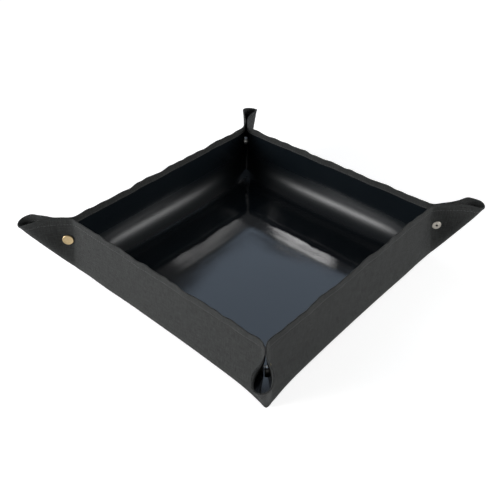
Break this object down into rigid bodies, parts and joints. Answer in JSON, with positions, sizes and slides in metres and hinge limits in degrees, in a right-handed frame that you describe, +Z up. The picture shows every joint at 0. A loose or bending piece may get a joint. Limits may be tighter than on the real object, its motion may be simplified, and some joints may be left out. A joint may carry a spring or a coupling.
{
  "type": "repotting mat",
  "caption": "Square coated-cloth mat whose corners snap up into pointed ears to make a shallow tray, and unsnap so that it folds out flat.",
  "frame": {"origin": "middle of the floor's underside", "axes": "+Z up out of the tray, +X towards the right wall, -Y towards the front wall; the walls are alike"},
  "size_m": [0.4322, 0.4322, 0.0841],
  "materials": {
    "coated_cloth": "glossy coating inside, matt weave outside",
    "cap_brass": "satin",
    "eyelet_nickel": "satin nickel",
    "snap_steel": "plated"
  },
  "bodies": {
    "floor": {"floor_panel": "coated_cloth"},
    "front_wall": {"front_wall": "coated_cloth"},
    "front_left_ear": {"front_left_ear": "coated_cloth", "front_cap": "cap_brass", "front_socket": "snap_steel", "front_spring": "snap_steel"},
    "front_left_nose": {"front_left_nose": "coated_cloth"},
    "front_right_ear": {"front_right_ear": "coated_cloth", "front_stud": "snap_steel", "front_eyelet": "eyelet_nickel"},
    "front_right_nose": {"front_right_nose": "coated_cloth"},
    "right_wall": {"right_wall": "coated_cloth"},
    "right_left_ear": {"right_left_ear": "coated_cloth", "right_cap": "cap_brass", "right_socket": "snap_steel", "right_spring": "snap_steel"},
    "right_left_nose": {"right_left_nose": "coated_cloth"},
    "right_right_ear": {"right_right_ear": "coated_cloth", "right_stud": "snap_steel", "right_eyelet": "eyelet_nickel"},
    "right_right_nose": {"right_right_nose": "coated_cloth"},
    "back_wall": {"back_wall": "coated_cloth"},
    "back_left_ear": {"back_left_ear": "coated_cloth", "back_cap": "cap_brass", "back_socket": "snap_steel", "back_spring": "snap_steel"},
    "back_left_nose": {"back_left_nose": "coated_cloth"},
    "back_right_ear": {"back_right_ear": "coated_cloth", "back_stud": "snap_steel", "back_eyelet": "eyelet_nickel"},
    "back_right_nose": {"back_right_nose": "coated_cloth"},
    "left_wall": {"left_wall": "coated_cloth"},
    "left_left_ear": {"left_left_ear": "coated_cloth", "left_cap": "cap_brass", "left_socket": "snap_steel", "left_spring": "snap_steel"},
    "left_left_nose": {"left_left_nose": "coated_cloth"},
    "left_right_ear": {"left_right_ear": "coated_cloth", "left_stud": "snap_steel", "left_eyelet": "eyelet_nickel"},
    "left_right_nose": {"left_right_nose": "coated_cloth"}
  },
  "joints": [
    {"name": "front_wall_fold", "type": "hinge", "parent": "floor", "child": "front_wall", "pos_m": [0, -0.168, 0.001], "axis": [1, 0, 0], "range_deg": [0, 91.5]},
    {"name": "front_left_ear_fold", "type": "hinge", "parent": "front_wall", "child": "front_left_ear", "pos_m": [-0.16475, -0.168, 0.001], "axis": [-0.0782, -0.0782, -0.9939], "range_deg": [0, 48.67]},
    {"name": "front_left_nose_fold", "type": "hinge", "parent": "front_left_ear", "child": "front_left_nose", "pos_m": [-0.16475, -0.168, 0.001], "axis": [-0.4019, -0.4916, 0.7726], "range_deg": [0, 90.59]},
    {"name": "front_right_ear_fold", "type": "hinge", "parent": "front_wall", "child": "front_right_ear", "pos_m": [0.16475, -0.168, 0.001], "axis": [-0.0782, 0.0782, 0.9939], "range_deg": [0, 48.67]},
    {"name": "front_right_nose_fold", "type": "hinge", "parent": "front_right_ear", "child": "front_right_nose", "pos_m": [0.16475, -0.168, 0.001], "axis": [-0.4019, 0.4916, -0.7726], "range_deg": [0, 90.59]},
    {"name": "right_wall_fold", "type": "hinge", "parent": "floor", "child": "right_wall", "pos_m": [0.168, 0, 0.001], "axis": [0, 1, 0], "range_deg": [0, 91.5]},
    {"name": "right_left_ear_fold", "type": "hinge", "parent": "right_wall", "child": "right_left_ear", "pos_m": [0.168, -0.16475, 0.001], "axis": [0.0782, -0.0782, -0.9939], "range_deg": [0, 48.67]},
    {"name": "right_left_nose_fold", "type": "hinge", "parent": "right_left_ear", "child": "right_left_nose", "pos_m": [0.168, -0.16475, 0.001], "axis": [0.4916, -0.4019, 0.7726], "range_deg": [0, 90.59]},
    {"name": "right_right_ear_fold", "type": "hinge", "parent": "right_wall", "child": "right_right_ear", "pos_m": [0.168, 0.16475, 0.001], "axis": [-0.0782, -0.0782, 0.9939], "range_deg": [0, 48.67]},
    {"name": "right_right_nose_fold", "type": "hinge", "parent": "right_right_ear", "child": "right_right_nose", "pos_m": [0.168, 0.16475, 0.001], "axis": [-0.4916, -0.4019, -0.7726], "range_deg": [0, 90.59]},
    {"name": "back_wall_fold", "type": "hinge", "parent": "floor", "child": "back_wall", "pos_m": [0, 0.168, 0.001], "axis": [-1, 0, 0], "range_deg": [0, 91.5]},
    {"name": "back_left_ear_fold", "type": "hinge", "parent": "back_wall", "child": "back_left_ear", "pos_m": [0.16475, 0.168, 0.001], "axis": [0.0782, 0.0782, -0.9939], "range_deg": [0, 48.67]},
    {"name": "back_left_nose_fold", "type": "hinge", "parent": "back_left_ear", "child": "back_left_nose", "pos_m": [0.16475, 0.168, 0.001], "axis": [0.4019, 0.4916, 0.7726], "range_deg": [0, 90.59]},
    {"name": "back_right_ear_fold", "type": "hinge", "parent": "back_wall", "child": "back_right_ear", "pos_m": [-0.16475, 0.168, 0.001], "axis": [0.0782, -0.0782, 0.9939], "range_deg": [0, 48.67]},
    {"name": "back_right_nose_fold", "type": "hinge", "parent": "back_right_ear", "child": "back_right_nose", "pos_m": [-0.16475, 0.168, 0.001], "axis": [0.4019, -0.4916, -0.7726], "range_deg": [0, 90.59]},
    {"name": "left_wall_fold", "type": "hinge", "parent": "floor", "child": "left_wall", "pos_m": [-0.168, 0, 0.001], "axis": [0, -1, 0], "range_deg": [0, 91.5]},
    {"name": "left_left_ear_fold", "type": "hinge", "parent": "left_wall", "child": "left_left_ear", "pos_m": [-0.168, 0.16475, 0.001], "axis": [-0.0782, 0.0782, -0.9939], "range_deg": [0, 48.67]},
    {"name": "left_left_nose_fold", "type": "hinge", "parent": "left_left_ear", "child": "left_left_nose", "pos_m": [-0.168, 0.16475, 0.001], "axis": [-0.4916, 0.4019, 0.7726], "range_deg": [0, 90.59]},
    {"name": "left_right_ear_fold", "type": "hinge", "parent": "left_wall", "child": "left_right_ear", "pos_m": [-0.168, -0.16475, 0.001], "axis": [0.0782, 0.0782, 0.9939], "range_deg": [0, 48.67]},
    {"name": "left_right_nose_fold", "type": "hinge", "parent": "left_right_ear", "child": "left_right_nose", "pos_m": [-0.168, -0.16475, 0.001], "axis": [0.4916, 0.4019, -0.7726], "range_deg": [0, 90.59]}
  ],
  "couplings": [
    {"joint": "front_left_ear_fold", "follows": "front_wall_fold", "ratio": 0.53182},
    {"joint": "front_left_nose_fold", "follows": "front_wall_fold", "ratio": 0.98996},
    {"joint": "front_right_ear_fold", "follows": "front_wall_fold", "ratio": 0.53182},
    {"joint": "front_right_nose_fold", "follows": "front_wall_fold", "ratio": 0.98996},
    {"joint": "right_wall_fold", "follows": "front_wall_fold", "ratio": 1},
    {"joint": "right_left_ear_fold", "follows": "front_wall_fold", "ratio": 0.53182},
    {"joint": "right_left_nose_fold", "follows": "front_wall_fold", "ratio": 0.98996},
    {"joint": "right_right_ear_fold", "follows": "front_wall_fold", "ratio": 0.53182},
    {"joint": "right_right_nose_fold", "follows": "front_wall_fold", "ratio": 0.98996},
    {"joint": "back_wall_fold", "follows": "front_wall_fold", "ratio": 1},
    {"joint": "back_left_ear_fold", "follows": "front_wall_fold", "ratio": 0.53182},
    {"joint": "back_left_nose_fold", "follows": "front_wall_fold", "ratio": 0.98996},
    {"joint": "back_right_ear_fold", "follows": "front_wall_fold", "ratio": 0.53182},
    {"joint": "back_right_nose_fold", "follows": "front_wall_fold", "ratio": 0.98996},
    {"joint": "left_wall_fold", "follows": "front_wall_fold", "ratio": 1},
    {"joint": "left_left_ear_fold", "follows": "front_wall_fold", "ratio": 0.53182},
    {"joint": "left_left_nose_fold", "follows": "front_wall_fold", "ratio": 0.98996},
    {"joint": "left_right_ear_fold", "follows": "front_wall_fold", "ratio": 0.53182},
    {"joint": "left_right_nose_fold", "follows": "front_wall_fold", "ratio": 0.98996}
  ]
}
